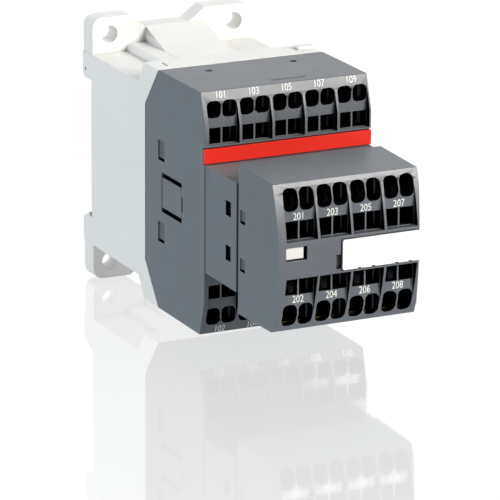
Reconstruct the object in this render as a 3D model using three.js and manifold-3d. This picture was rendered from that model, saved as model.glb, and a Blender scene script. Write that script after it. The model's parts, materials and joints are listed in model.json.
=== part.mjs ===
// Eight-pole control relay (a small contactor) that clips on a 35 mm DIN rail, with spring-clamp terminals.
// A light base holds the magnet and coil. The dark housing in front holds four poles and the coil terminals.
// A factory-fitted front block holds four more poles, driven by the same moving contact carrier.
// Millimetres. y = 0 is the face that rests on the rail, the front faces -Y, +X is right and +Z is up.

import * as THREE from 'three';
import { mergeVertices } from 'three/addons/utils/BufferGeometryUtils.js';
import Module from 'manifold-3d';

const wasm = await Module();
wasm.setup();

// ---------------------------------------------------------------- driving dimensions

// Overall: GAP is left between neighbouring pieces, CUT is how far a cutter reaches past a face, and
// TERMINAL_SHIFT is how far the terminal openings sit to the right of the pole centres.
const HALF_WIDTH = 22.5;
const GAP = 0.3;
const CUT = 3;
const POLES = 4;
const POLE_PITCH = 8.8;
const TERMINAL_SHIFT = 0.4;
const CARRIER_TRAVEL = 4.2;
const BRIDGE_TRAVEL = 2.8;

// Base: rail seat, hooks, screw lugs and the flared front rim.
const LUG_BACK = 5.1;
const LUG_FRONT = -0.4;
const LUG_TOP = 34.5;
const LUG_HALF_WIDTH = 22.2;
const VALLEY_TOP = 31.1;
const SCREW_X = 17.5;
const SCREW_Z = 30;
const SCREW_RADIUS = 2.25;
const BASE_HALF_HEIGHT = 25.1;
const BODY_HALF_HEIGHT = 30.5;
const FLARE_BACK = -28.8;
const FLARE_FRONT = -32.3;
const UPPER_HOOK_Z = 18.4;
const LOWER_GROOVE_Z = -17.8;
const LOWER_LIP_Z = -16.6;
const LIP_FRONT = 1.3;
const SEAT_HALF = 16;
const SEAT_RELIEF = -0.3;
const CAVITY_BACK = -2.5;
const CAVITY_HALF_X = 20.7;
const CAVITY_HALF_Z = 23.2;
const STEP_TOP = 27.1;

// Seam between the base and the terminal housing.
const SEAM_BACK = -33.2;
const SEAM_FRONT = -41.1;
const SEAM_HALF_Z = 20;
const SEAM_GAP = 0.4;

// Terminal housing and its neck.
const FACE_EDGE = -64.6;
const FACE = -67.2;
const FACE_KINK_Z = 21.9;
const POCKET_FLOOR = -65.5;
const CHAMBER_FRONT = -63.6;
const CHAMBER_BACK = -43.5;
const CHAMBER_HALF_X = 21;
const CHAMBER_TOP = 29.2;
const SHELF_TOP = 17.2;
const SHELF_THICK = 1;
const SHELF_BACK = -51.2;
const WEB_THICK = 1;
const WEB_BACK = -46;
const RIB_THICK = 0.65;
const BAND_LOW = 12.9;
const BAND_HIGH = 17.15;
const NECK_LOW = -14;
const NECK_HIGH = 12.9;
const NECK_FRONT = -84.4;
const NECK_WALL = 1.5;
const NECK_HALF_X = 22.3;

// Front block, centred a little below the middle and set to the left over the four poles.
const BLOCK_Z = -0.6;
const BLOCK_LEFT = -22.2;
const BLOCK_RIGHT = 15.8;
const BLOCK_BACK = -85.2;
const BLOCK_EDGE = -103.2;
const BLOCK_FACE = -106.9;
const BLOCK_HALF_BACK = 18.55;
const BLOCK_HALF_FRONT = 18;
const BLOCK_WALL = 1.4;
const BLOCK_POCKET_FLOOR = -104.7;
const BLOCK_CHAMBER_FRONT = -102.7;
const BLOCK_CHAMBER_TOP = 17.2;
const BLOCK_SHELF_TOP = 4.4;
const BLOCK_SHELF_THICK = 0.9;
const BLOCK_FIRST_POLE = -16.4;
const COVER_FRONT = -87;
const COVER_BACK = -85.5;

// Magnet and coil.
const CORE_HALF_X = 7;
const CORE_HALF_Z = 20.5;
const CORE_BACK = -3.2;
const CORE_YOKE = -9.2;
const CORE_TIP = -30.1;
const CENTRE_LEG = 5.5;
const OUTER_LEG = 14.5;
const BOBBIN_BACK = -9.6;
const BOBBIN_FRONT = -29.7;
const FLANGE_THICK = 1.4;
const FLANGE_HALF_X = 17;
const FLANGE_HALF_Z = 14.2;

// Moving system.
const ARMATURE_BACK = CORE_TIP - GAP - CARRIER_TRAVEL;
const ARMATURE_THICK = 4;
const BEAM_HALF_Z = 3.6;
const BEAM_FRONT = -61;
const YOKE_FRONT = -44;
const WING_FRONT = -47;
const SPRING_X = 13;
const STEM_END = -88;
const HEAD_BACK = -89.8;
const HEAD_FRONT = -91;

// Contacts.
const BAR_THICK = 1;
const BAR_Z = 28.4;
const FIXED_Y = -47;
const FIXED_TIP_Z = 5.6;
const RIVET_Z = 7.2;
const RIVET_HIGH = 0.6;
const BLOCK_BAR_THICK = 0.7;
const BLOCK_BAR_Z = 16.5;
const BLOCK_FIXED_Y = -90.2;
const BLOCK_TIP_Z = 4.5;
const BLOCK_RIVET_Z = 6;
const BLOCK_RIVET_HIGH = 0.45;
const BRIDGE_THICK = 0.7;
const BRIDGE_HALF_X = 1.9;

// ---------------------------------------------------------------- materials

function plastic(colour, roughness) {
  return new THREE.MeshStandardMaterial({ color: colour, roughness, metalness: 0 });
}

function metal(colour, roughness) {
  return new THREE.MeshStandardMaterial({ color: colour, roughness, metalness: 1 });
}

const lightGrey = plastic(0xdcdcda, 0.5);
const darkGrey = plastic(0x6e737a, 0.55);
const red = plastic(0xe8301f, 0.45);
const white = plastic(0xf6f6f2, 0.4);
const black = plastic(0x1b1b1d, 0.5);
const natural = plastic(0xc9c2ae, 0.5);
const iron = metal(0x8b8d90, 0.4);
const copper = metal(0xb4673a, 0.35);
const brass = metal(0xc9a961, 0.35);
const silver = metal(0xc8c9cb, 0.3);
const steel = metal(0xa9adb2, 0.3);

// ---------------------------------------------------------------- shape helpers

const AXIS_X = new THREE.Vector3(1, 0, 0);
const AXIS_Y = new THREE.Vector3(0, 1, 0);
const AXIS_Z = new THREE.Vector3(0, 0, 1);
const FORWARD = new THREE.Vector3(0, -1, 0);

function solidFrom(geometry) {
  geometry.deleteAttribute('normal');
  geometry.deleteAttribute('uv');
  const merged = mergeVertices(geometry, 1e-4);
  const vertProperties = new Float32Array(merged.attributes.position.array);
  const triVerts = new Uint32Array(merged.index.array);
  return new wasm.Manifold(new wasm.Mesh({ numProp: 3, vertProperties, triVerts }));
}

function geometryFrom(solid) {
  const { vertProperties, triVerts } = solid.getMesh();
  const geometry = new THREE.BufferGeometry();
  geometry.setAttribute('position', new THREE.BufferAttribute(vertProperties, 3));
  geometry.setIndex(new THREE.BufferAttribute(triVerts, 1));
  geometry.computeVertexNormals();
  return geometry;
}

// A block between two corners, given as [low, high] along each axis.
function block([xLow, xHigh], [yLow, yHigh], [zLow, zHigh]) {
  const geometry = new THREE.BoxGeometry(xHigh - xLow, yHigh - yLow, zHigh - zLow);
  geometry.translate((xLow + xHigh) / 2, (yLow + yHigh) / 2, (zLow + zHigh) / 2);
  return solidFrom(geometry);
}

function outline(points) {
  return new THREE.Shape(points.map(([a, b]) => new THREE.Vector2(a, b)));
}

function extruded(shape, depth, basis, curveSegments = 4) {
  const geometry = new THREE.ExtrudeGeometry(shape, { depth, bevelEnabled: false, curveSegments });
  geometry.applyMatrix4(new THREE.Matrix4().makeBasis(...basis));
  return geometry;
}

// An outline drawn in (y, z), extruded from one x to another.
function alongX(shape, [low, high], curveSegments) {
  const geometry = extruded(shape, high - low, [AXIS_Y, AXIS_Z, AXIS_X], curveSegments);
  geometry.translate(low, 0, 0);
  return solidFrom(geometry);
}

// An outline drawn in (x, z), extruded from one y to another.
function alongY(shape, [low, high], curveSegments) {
  const geometry = extruded(shape, high - low, [AXIS_X, AXIS_Z, FORWARD], curveSegments);
  geometry.translate(0, high, 0);
  return solidFrom(geometry);
}

function roundedRectangle([aLow, aHigh], [bLow, bHigh], radius) {
  const shape = new THREE.Shape();
  shape.absarc(aHigh - radius, bLow + radius, radius, -Math.PI / 2, 0);
  shape.absarc(aHigh - radius, bHigh - radius, radius, 0, Math.PI / 2);
  shape.absarc(aLow + radius, bHigh - radius, radius, Math.PI / 2, Math.PI);
  shape.absarc(aLow + radius, bLow + radius, radius, Math.PI, 1.5 * Math.PI);
  shape.closePath();
  return shape;
}

function circle(x, z, radius) {
  return new THREE.Shape().absarc(x, z, radius, 0, 2 * Math.PI);
}

function around(centre, half) {
  return [centre - half, centre + half];
}

function mirrored([low, high]) {
  return [-high, -low];
}

function ordered(a, b) {
  return a < b ? [a, b] : [b, a];
}

// The span from a side face inwards by a depth, open beyond the face. Side is -1 for left and 1 for right.
function fromSide(side, halfWidth, depth) {
  return ordered(side * (halfWidth - depth), side * (halfWidth + CUT));
}

function joined(solids) {
  return solids.reduce((all, next) => all.add(next));
}

// The same cut or piece above and below the middle plane.
function bothHalves(make, span) {
  return make(span).add(make(mirrored(span)));
}

// Rounds each inner corner of a bent line with an arc of the given radius.
function roundedLine(corners, radius, steps = 3) {
  const points = [corners[0]];
  for (let i = 1; i < corners.length - 1; i++) {
    const corner = new THREE.Vector2(...corners[i]);
    const back = new THREE.Vector2(...corners[i - 1]).sub(corner).normalize();
    const ahead = new THREE.Vector2(...corners[i + 1]).sub(corner).normalize();
    const halfAngle = back.angleTo(ahead) / 2;
    const reach = radius / Math.tan(halfAngle);
    const towards = back.clone().add(ahead).normalize();
    const centre = corner.clone().addScaledVector(towards, radius / Math.sin(halfAngle));
    const start = corner.clone().addScaledVector(back, reach).sub(centre);
    const end = corner.clone().addScaledVector(ahead, reach).sub(centre);
    const turn = Math.atan2(start.cross(end), start.dot(end));
    for (let s = 0; s <= steps; s++) {
      const point = start.clone().rotateAround(new THREE.Vector2(), (turn * s) / steps).add(centre);
      points.push([point.x, point.y]);
    }
  }
  points.push(corners[corners.length - 1]);
  return points;
}

// The outline of a bent strip of even thickness that follows a line drawn in (y, z).
function stripOutline(line, thickness) {
  const points = line.map(([a, b]) => new THREE.Vector2(a, b));
  const left = [];
  const right = [];
  points.forEach((point, i) => {
    const before = points[Math.max(i - 1, 0)];
    const after = points[Math.min(i + 1, points.length - 1)];
    const along = after.clone().sub(before).normalize();
    const aside = new THREE.Vector2(-along.y, along.x).multiplyScalar(thickness / 2);
    left.push(point.clone().add(aside));
    right.unshift(point.clone().sub(aside));
  });
  return new THREE.Shape([...left, ...right]);
}

function bentStrip(corners, radius, thickness, halfWidth) {
  return alongX(stripOutline(roundedLine(corners, radius), thickness), around(0, halfWidth));
}

// ---------------------------------------------------------------- base

function baseSideOutline() {
  const seamBack = SEAM_BACK + SEAM_GAP;
  const seamFront = SEAM_FRONT + SEAM_GAP;
  const hookRadius = 2;
  const lipSlope = 1.9;
  const shape = new THREE.Shape();
  shape.moveTo(0, -SEAT_HALF);
  shape.lineTo(SEAT_RELIEF, -SEAT_HALF);
  shape.lineTo(SEAT_RELIEF, LOWER_GROOVE_Z);
  shape.lineTo(LIP_FRONT, LOWER_GROOVE_Z);
  shape.lineTo(LIP_FRONT, LOWER_LIP_Z);
  shape.lineTo(LUG_BACK, LOWER_LIP_Z - lipSlope);
  shape.lineTo(LUG_BACK, -BASE_HALF_HEIGHT);
  shape.lineTo(FLARE_BACK, -BASE_HALF_HEIGHT);
  shape.lineTo(FLARE_FRONT, -BODY_HALF_HEIGHT);
  shape.lineTo(seamFront, -BODY_HALF_HEIGHT);
  shape.lineTo(seamBack, -SEAM_HALF_Z);
  shape.lineTo(seamBack, SEAM_HALF_Z);
  shape.lineTo(seamFront, BODY_HALF_HEIGHT);
  shape.lineTo(FLARE_FRONT, BODY_HALF_HEIGHT);
  shape.lineTo(FLARE_BACK, BASE_HALF_HEIGHT);
  shape.lineTo(LUG_BACK, BASE_HALF_HEIGHT);
  shape.lineTo(LUG_BACK, UPPER_HOOK_Z + hookRadius);
  shape.quadraticCurveTo(LUG_BACK, UPPER_HOOK_Z, LUG_BACK - hookRadius, UPPER_HOOK_Z);
  shape.lineTo(SEAT_RELIEF, UPPER_HOOK_Z);
  shape.lineTo(SEAT_RELIEF, SEAT_HALF);
  shape.lineTo(0, SEAT_HALF);
  return shape;
}

// The two lugs above (side = 1) or below (side = -1) and the low web between them.
function lugPlate(side) {
  const cornerRadius = 3;
  const root = 21;
  const shape = new THREE.Shape();
  shape.moveTo(-LUG_HALF_WIDTH, side * root);
  shape.lineTo(-LUG_HALF_WIDTH, side * (LUG_TOP - cornerRadius));
  shape.quadraticCurveTo(-LUG_HALF_WIDTH, side * LUG_TOP, cornerRadius - LUG_HALF_WIDTH, side * LUG_TOP);
  shape.lineTo(-11.7, side * LUG_TOP);
  shape.lineTo(-7.4, side * VALLEY_TOP);
  shape.lineTo(4.7, side * VALLEY_TOP);
  shape.lineTo(9.2, side * LUG_TOP);
  shape.lineTo(LUG_HALF_WIDTH - cornerRadius, side * LUG_TOP);
  shape.quadraticCurveTo(LUG_HALF_WIDTH, side * LUG_TOP, LUG_HALF_WIDTH, side * (LUG_TOP - cornerRadius));
  shape.lineTo(LUG_HALF_WIDTH, side * root);
  return alongY(shape, [LUG_FRONT, LUG_BACK]);
}

// The rounded rib and the wedge that stiffen the back of the base, above or below.
function stiffeners(side) {
  const ribEnd = FLARE_BACK - 1.7;
  const wedgeEnd = -13;
  const root = side * 24;
  const ribSection = roundedRectangle([-12.7, -6.5], ordered(root, side * STEP_TOP), 1.3);
  const wedge = outline([
    [LUG_FRONT + 1, root],
    [LUG_FRONT + 1, side * VALLEY_TOP],
    [LUG_FRONT, side * VALLEY_TOP],
    [wedgeEnd, side * STEP_TOP],
    [ribEnd, side * STEP_TOP],
    [ribEnd, root],
  ]);
  return alongY(ribSection, [ribEnd, LUG_FRONT + 1], 3).add(alongX(wedge, [-7.4, 9.3]));
}

function screwHoles() {
  const hole = (x, z) => alongY(circle(x, z, SCREW_RADIUS), [LUG_FRONT - CUT, LUG_BACK + CUT], 20);
  return joined([-1, 1].flatMap((sx) => [-1, 1].map((sz) => hole(sx * SCREW_X, sz * SCREW_Z))));
}

const CLIP_HALF_X = 12;
const CLIP_TOP = 24.5;
const CLIP_TRAVEL = 2;

// The guide for the rail clip in the upper hook, with a window through to the back.
function clipGuide() {
  const zSpan = [UPPER_HOOK_Z - CUT, CLIP_TOP + CLIP_TRAVEL + GAP];
  const guide = block(around(0, CLIP_HALF_X + GAP), [LIP_FRONT, LIP_FRONT + 2.4], zSpan);
  return guide.add(block(around(0, CLIP_HALF_X - 3), [LIP_FRONT + 2, LUG_BACK + CUT], zSpan));
}

// A nub at the right end of the upper flange, and a narrow slit at its left end.
const FLANGE_NUB = { x: [17.4, 22.1], y: [-37.9, -35], rise: 0.9 };
const FLANGE_SLIT = { x: [-18.9, -18.3], y: [-37.9, -34.3], depth: 1 };

// A round dimple in each side of the upper hook.
const DIMPLE = { y: 3.3, z: 20.7, radius: 0.45, depth: 0.6 };

function hookDimple(side) {
  const shape = new THREE.Shape().absarc(DIMPLE.y, DIMPLE.z, DIMPLE.radius, 0, 2 * Math.PI);
  return alongX(shape, fromSide(side, HALF_WIDTH, DIMPLE.depth), 8);
}

function baseHousing() {
  const top = BODY_HALF_HEIGHT;
  const shell = joined([
    alongX(baseSideOutline(), around(0, HALF_WIDTH)),
    lugPlate(1),
    lugPlate(-1),
    stiffeners(1),
    stiffeners(-1),
    block(FLANGE_NUB.x, FLANGE_NUB.y, [top - 1, top + FLANGE_NUB.rise]),
  ]);
  const cavity = block(
    around(0, CAVITY_HALF_X),
    [SEAM_FRONT - CUT, CAVITY_BACK],
    around(0, CAVITY_HALF_Z),
  );
  const slit = block(FLANGE_SLIT.x, FLANGE_SLIT.y, [top - FLANGE_SLIT.depth, top + CUT]);
  return shell.subtract(joined([cavity, screwHoles(), clipGuide(), slit, hookDimple(-1), hookDimple(1)]));
}

function railClip() {
  const front = LIP_FRONT + GAP;
  const back = front + 1.8;
  const lip = 16.4;
  const profile = outline([
    [front, lip],
    [front + 0.5, lip],
    [back, lip + 1.2],
    [back, CLIP_TOP],
    [front, CLIP_TOP],
  ]);
  const slot = block(around(0, 3), [front - CUT, back + CUT], [20.5, 22]);
  return alongX(profile, around(0, CLIP_HALF_X)).subtract(slot);
}

// ---------------------------------------------------------------- magnet and coil

function magnetCore() {
  const side = outline([
    [CORE_BACK, -CORE_HALF_Z],
    [CORE_TIP, -CORE_HALF_Z],
    [CORE_TIP, -OUTER_LEG],
    [CORE_YOKE, -OUTER_LEG],
    [CORE_YOKE, -CENTRE_LEG],
    [CORE_TIP, -CENTRE_LEG],
    [CORE_TIP, CENTRE_LEG],
    [CORE_YOKE, CENTRE_LEG],
    [CORE_YOKE, OUTER_LEG],
    [CORE_TIP, OUTER_LEG],
    [CORE_TIP, CORE_HALF_Z],
    [CORE_BACK, CORE_HALF_Z],
  ]);
  return alongX(side, around(0, CORE_HALF_X));
}

function coilBobbin() {
  const flange = (y) => block(around(0, FLANGE_HALF_X), y, around(0, FLANGE_HALF_Z));
  const terminalSeat = (z) => block([12.5, 19.5], [BOBBIN_FRONT - 1.1, BOBBIN_FRONT + FLANGE_THICK], z);
  const barrel = block(
    around(0, CORE_HALF_X + GAP + 1),
    [BOBBIN_FRONT, BOBBIN_BACK],
    around(0, CENTRE_LEG + GAP + 1),
  );
  const bore = block(
    around(0, CORE_HALF_X + GAP),
    [BOBBIN_FRONT - CUT, BOBBIN_BACK + CUT],
    around(0, CENTRE_LEG + GAP),
  );
  return joined([
    flange([BOBBIN_BACK - FLANGE_THICK, BOBBIN_BACK]),
    flange([BOBBIN_FRONT, BOBBIN_FRONT + FLANGE_THICK]),
    barrel,
    bothHalves(terminalSeat, [9, FLANGE_HALF_Z]),
  ]).subtract(bore);
}

function coilWinding() {
  const span = [BOBBIN_FRONT + FLANGE_THICK + GAP, BOBBIN_BACK - FLANGE_THICK - GAP];
  const outer = roundedRectangle(around(0, FLANGE_HALF_X - 1), around(0, FLANGE_HALF_Z - 0.6), 4);
  const innerX = CORE_HALF_X + 2 * GAP + 1;
  const innerZ = CENTRE_LEG + 2 * GAP + 1;
  const hollow = block(around(0, innerX), [span[0] - CUT, span[1] + CUT], around(0, innerZ));
  return alongY(outer, span).subtract(hollow);
}

// A wire helix around a line along Y.
class Helix extends THREE.Curve {
  constructor(radius, turns, back, front) {
    super();
    Object.assign(this, { radius, turns, back, front });
  }
  getPoint(t, target = new THREE.Vector3()) {
    const angle = 2 * Math.PI * this.turns * t;
    const y = this.back + (this.front - this.back) * t;
    return target.set(this.radius * Math.cos(angle), y, this.radius * Math.sin(angle));
  }
}

function returnSpring() {
  const wire = 0.35;
  const turns = 5;
  const helix = new Helix(2.6, turns, BOBBIN_FRONT - GAP - wire, YOKE_FRONT + GAP + wire);
  const settings = { steps: turns * 10, bevelEnabled: false, curveSegments: 3, extrudePath: helix };
  return solidFrom(new THREE.ExtrudeGeometry(circle(0, 0, wire), settings));
}

// ---------------------------------------------------------------- terminal housing

function terminalHousingShell() {
  const side = outline([
    [SEAM_BACK, -SEAM_HALF_Z],
    [SEAM_FRONT, -BODY_HALF_HEIGHT],
    [FACE_EDGE, -BODY_HALF_HEIGHT],
    [FACE, -FACE_KINK_Z],
    [FACE, FACE_KINK_Z],
    [FACE_EDGE, BODY_HALF_HEIGHT],
    [SEAM_FRONT, BODY_HALF_HEIGHT],
    [SEAM_BACK, SEAM_HALF_Z],
  ]);
  const neck = block(around(0, NECK_HALF_X), [NECK_FRONT, FACE + 1], [NECK_LOW, NECK_HIGH]);
  return alongX(side, around(0, HALF_WIDTH)).add(neck);
}

function columnCentres() {
  return Array.from({ length: POLES + 1 }, (_, i) => (i - POLES / 2) * POLE_PITCH);
}

// The hollow behind the front face, less the webs between columns and the shelves under the clamps.
function terminalChambers() {
  const rear = block(around(0, CHAMBER_HALF_X), [CHAMBER_BACK, SEAM_BACK + CUT], around(0, 21.5));
  const chamber = block(
    around(0, CHAMBER_HALF_X),
    [CHAMBER_FRONT, CHAMBER_BACK],
    around(0, CHAMBER_TOP),
  );
  const webs = [-1.5, -0.5, 0.5, 1.5].map((k) => {
    const x = around(k * POLE_PITCH, WEB_THICK / 2);
    const web = (z) => block(x, [CHAMBER_FRONT - 1, WEB_BACK], z);
    return bothHalves(web, [4.4, CHAMBER_TOP + 1]);
  });
  const shelf = (z) => block(around(0, HALF_WIDTH), [CHAMBER_FRONT - 1, SHELF_BACK], z);
  const shelves = bothHalves(shelf, [SHELF_TOP - SHELF_THICK, SHELF_TOP]);
  return rear.add(chamber.subtract(joined(webs)).subtract(shelves));
}

// Pocket, two wire holes and two release openings of one terminal, above the middle plane.
function terminalCuts(x, size) {
  const through = [size.floor - CUT, size.floor + CUT];
  const toFront = [size.floor - 5, size.floor];
  const pocket = block(around(x, size.halfWidth), toFront, [size.low, size.pocketTop]);
  const sides = [-1, 1].flatMap((side) => {
    const edges = [x + side * size.halfSeparator, x + side * (size.halfWidth - 0.1)];
    const wide = edges.sort((a, b) => a - b);
    return [
      alongY(roundedRectangle(wide, [size.holeLow, size.holeHigh], size.holeRadius), through, 3),
      block(wide, through, [size.low + 0.1, size.releaseHigh]),
    ];
  });
  return joined([pocket, ...sides]);
}

const MAIN_TERMINAL = {
  floor: POCKET_FLOOR,
  halfWidth: (POLE_PITCH - RIB_THICK) / 2,
  halfSeparator: 0.22,
  low: 17.5,
  releaseHigh: 21.5,
  holeLow: 23.9,
  holeHigh: 28.1,
  holeRadius: 1.3,
  pocketTop: 28.6,
};

// The snap tongue in each side wall: slots above and below, grooves at its back and front, a slit at its tip.
const TONGUE = {
  y: [-54.3, -42.7],
  slotZ: [3.85, 5],
  backGroove: 0.35,
  frontGroove: 0.16,
  tipSlit: { wide: 0.7, z: [-2.1, 1.5] },
};
// A shallow recess above and below each tongue, with a deeper pit at its lower end.
const RECESS = { y: [-44.3, -40.6], z: [7.9, 13], depth: 0.25, pitHigh: 0.6, pitDepth: 1.1 };
// Windows in the neck's side walls for the front block's latches.
const LATCH_WINDOW = { y: [-81.3, -78.7], z: [3.8, 7.3] };

function tongueCuts(side) {
  const through = fromSide(side, HALF_WIDTH, HALF_WIDTH - CHAMBER_HALF_X + 0.5);
  const shallow = fromSide(side, HALF_WIDTH, 0.4);
  const [front, back] = TONGUE.y;
  const grooveZ = around(0, TONGUE.slotZ[0] + 0.1);
  return joined([
    bothHalves((z) => block(through, TONGUE.y, z), TONGUE.slotZ),
    block(shallow, [back - TONGUE.backGroove, back], grooveZ),
    block(shallow, [front, front + TONGUE.frontGroove], grooveZ),
    block(through, [front + TONGUE.frontGroove - TONGUE.tipSlit.wide, front], TONGUE.tipSlit.z),
  ]);
}

function sideRecess(side, halfWidth, size, [low, high]) {
  const floor = block(fromSide(side, halfWidth, size.depth), size.y, [low, high]);
  const pit = block(fromSide(side, halfWidth, size.pitDepth), size.y, [low, low + size.pitHigh]);
  return floor.add(pit);
}

function sideCuts(side) {
  const windowX = fromSide(side, HALF_WIDTH, HALF_WIDTH - CHAMBER_HALF_X + 0.5);
  return joined([
    tongueCuts(side),
    sideRecess(side, HALF_WIDTH, RECESS, RECESS.z),
    sideRecess(side, HALF_WIDTH, RECESS, mirrored(RECESS.z)),
    bothHalves((z) => block(windowX, LATCH_WINDOW.y, z), LATCH_WINDOW.z),
  ]);
}

const LATCH_Z = [4.5, 6.5];
const LEFT_LATCH_X = [-20.6, -19.6];
const RIGHT_LATCH_X = [12.4, 13.4];
const LATCH_TIP = -79.1;
const DRIVE_HALF_X = 6.7;
const DRIVE_HALF_Z = 4;

// Openings in the neck's front wall for the drive stem and the front block's four latches.
function neckOpenings() {
  const y = [NECK_FRONT - CUT, NECK_FRONT + CUT];
  const drive = block(around(0, DRIVE_HALF_X), y, around(BLOCK_Z, DRIVE_HALF_Z));
  const slotZ = [LATCH_Z[0] - GAP, LATCH_Z[1] + GAP];
  const slot = ([xLow, xHigh]) => (z) => block([xLow - GAP, xHigh + 3 * GAP], y, z);
  return joined([drive, bothHalves(slot(LEFT_LATCH_X), slotZ), bothHalves(slot(RIGHT_LATCH_X), slotZ)]);
}

// Two small square dimples in the top face and a thin slot at its front edge.
const TOP_DIMPLE = { x: 11.5, y: -46.4, half: 0.8, depth: 0.8 };
const TOP_SLOT = { x: [-2, 7.3], y: [-61.8, -60.8], depth: 0.5 };

function topMarks() {
  const top = BODY_HALF_HEIGHT;
  const dimple = (x) => block(
    around(x, TOP_DIMPLE.half),
    around(TOP_DIMPLE.y, TOP_DIMPLE.half),
    [top - TOP_DIMPLE.depth, top + CUT],
  );
  const slot = block(TOP_SLOT.x, TOP_SLOT.y, [top - TOP_SLOT.depth, top + CUT]);
  return joined([dimple(-TOP_DIMPLE.x), dimple(TOP_DIMPLE.x), slot]);
}

function terminalHousing() {
  const upper = joined(columnCentres().map((x) => terminalCuts(x + TERMINAL_SHIFT, MAIN_TERMINAL)));
  const neckHollow = block(
    around(0, CHAMBER_HALF_X),
    [NECK_FRONT + NECK_WALL, CHAMBER_FRONT + 0.6],
    [NECK_LOW + NECK_WALL, NECK_HIGH - NECK_WALL],
  );
  const bandSeat = block(around(0, HALF_WIDTH + 1), [FACE - CUT, FACE + 0.9], [BAND_LOW, BAND_HIGH]);
  return terminalHousingShell()
    .subtract(terminalChambers())
    .subtract(joined([upper, upper.mirror([0, 0, 1]), neckHollow, bandSeat, neckOpenings()]))
    .subtract(joined([sideCuts(-1), sideCuts(1), topMarks()]));
}

function markingBand() {
  return block(around(0, HALF_WIDTH), [FACE - 0.2, FACE + 0.6], [BAND_LOW + GAP, BAND_HIGH - GAP]);
}

// ---------------------------------------------------------------- moving system

function poleCentres() {
  return columnCentres().slice(0, POLES);
}

function bridgeBack(fixedY, barThick, rivetHigh) {
  return fixedY - barThick / 2 - rivetHigh - GAP - BRIDGE_TRAVEL - rivetHigh;
}

const MAIN_BRIDGE_BACK = bridgeBack(FIXED_Y, BAR_THICK, RIVET_HIGH);
const BLOCK_BRIDGE_BACK = bridgeBack(BLOCK_FIXED_Y, BLOCK_BAR_THICK, BLOCK_RIVET_HIGH);

function contactCarrier() {
  const wall = 0.7;
  const windowHalf = BRIDGE_HALF_X + GAP;
  const first = poleCentres()[0];
  const last = poleCentres()[POLES - 1];
  const beam = block(
    [first - windowHalf - wall, last + windowHalf + wall],
    [BEAM_FRONT, YOKE_FRONT],
    around(0, BEAM_HALF_Z),
  );
  const windows = poleCentres().map((x) => {
    const y = [BEAM_FRONT + 1.1, MAIN_BRIDGE_BACK + GAP];
    return block(around(x, windowHalf), y, around(0, BEAM_HALF_Z + CUT));
  });
  const yoke = block(around(0, 7.5), [YOKE_FRONT - 0.5, ARMATURE_BACK - ARMATURE_THICK - GAP], around(0, 10));
  const wings = block(around(0, 16), [WING_FRONT, YOKE_FRONT], around(0, 3.4));
  const stem = block(around(0, 4), [STEM_END, BEAM_FRONT + 0.5], around(0, 2.6));
  const tee = block(around(0, 2), [HEAD_FRONT, STEM_END + 0.5], around(0, 2.6));
  const head = block(around(0, 4), [HEAD_FRONT, HEAD_BACK], around(0, 2.6));
  return joined([beam, yoke, wings, stem, tee, head]).subtract(joined(windows));
}

function armature() {
  return block(around(0, 7.5), [ARMATURE_BACK - ARMATURE_THICK, ARMATURE_BACK], around(0, CORE_HALF_Z));
}

function blockPoleCentres() {
  return Array.from({ length: POLES }, (_, i) => BLOCK_FIRST_POLE + i * POLE_PITCH);
}

const BLOCK_BEAM_FRONT = -101.5;
const BLOCK_BEAM_BACK = -92;

// The front block's own carrier: a beam with four windows and a slotted tail that takes the stem's T-head.
function auxCarrier() {
  const z = around(0, 3.1);
  const beam = block([-20.2, 13.8], [BLOCK_BEAM_FRONT, BLOCK_BEAM_BACK], z);
  const tail = block(around(0, 6), [BLOCK_BEAM_BACK - 1, STEM_END - GAP], around(0, 3.3));
  const slotZ = around(0, 3.3 + CUT);
  const neckSlot = block(around(0, 2 + GAP), [HEAD_BACK - GAP, STEM_END + CUT], slotZ);
  const headSlot = block(around(0, 4 + GAP), [HEAD_FRONT - GAP, HEAD_BACK + GAP], slotZ);
  const windows = blockPoleCentres().map((x) => {
    const y = [BLOCK_BEAM_FRONT + 1.1, BLOCK_BRIDGE_BACK + GAP];
    return block(around(x, BRIDGE_HALF_X + GAP), y, around(0, 3.1 + CUT));
  });
  return beam.add(tail).subtract(joined([neckSlot, headSlot, ...windows]));
}

const INDICATOR_X = [-20.1, -15.5];
const INDICATOR_Z = [0.3, 3.1];

function positionIndicator() {
  const y = [BLOCK_FACE + 0.5, BLOCK_BEAM_FRONT - GAP];
  return block(INDICATOR_X, y, INDICATOR_Z);
}

// ---------------------------------------------------------------- front block

function auxHousingOutline() {
  const flatHalf = 3.6;
  const bulge = { y: BLOCK_FACE + 1, z: 11 };
  const shape = new THREE.Shape();
  shape.moveTo(BLOCK_BACK, -BLOCK_HALF_BACK);
  shape.lineTo(BLOCK_EDGE, -BLOCK_HALF_FRONT);
  shape.quadraticCurveTo(bulge.y, -bulge.z, BLOCK_FACE, -flatHalf);
  shape.lineTo(BLOCK_FACE, flatHalf);
  shape.quadraticCurveTo(bulge.y, bulge.z, BLOCK_EDGE, BLOCK_HALF_FRONT);
  shape.lineTo(BLOCK_BACK, BLOCK_HALF_BACK);
  return shape;
}

const BLOCK_TERMINAL = {
  floor: BLOCK_POCKET_FLOOR,
  halfWidth: 4.1,
  halfSeparator: 0.2,
  low: 4.5,
  releaseHigh: 9,
  holeLow: 11.4,
  holeHigh: 16.8,
  holeRadius: 1.5,
  pocketTop: 17,
};

const MARKER_X = [-5.65, 14.7];
const MARKER_Z = [-3.75, 3.6];
const MARKER_NOTCH = { x: [-7.2, -5.4], z: [-3.45, 0.05], depth: 1.1 };
const WINDOW_MARGIN = { left: 0.2, right: 0.65, below: 0.35, above: 0.2 };
const BLOCK_LATCH_RECESS = { y: [-89, -86.3], z: [4.3, 7.6], depth: 0.2, pitHigh: 0.6, pitDepth: 0.9 };

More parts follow.
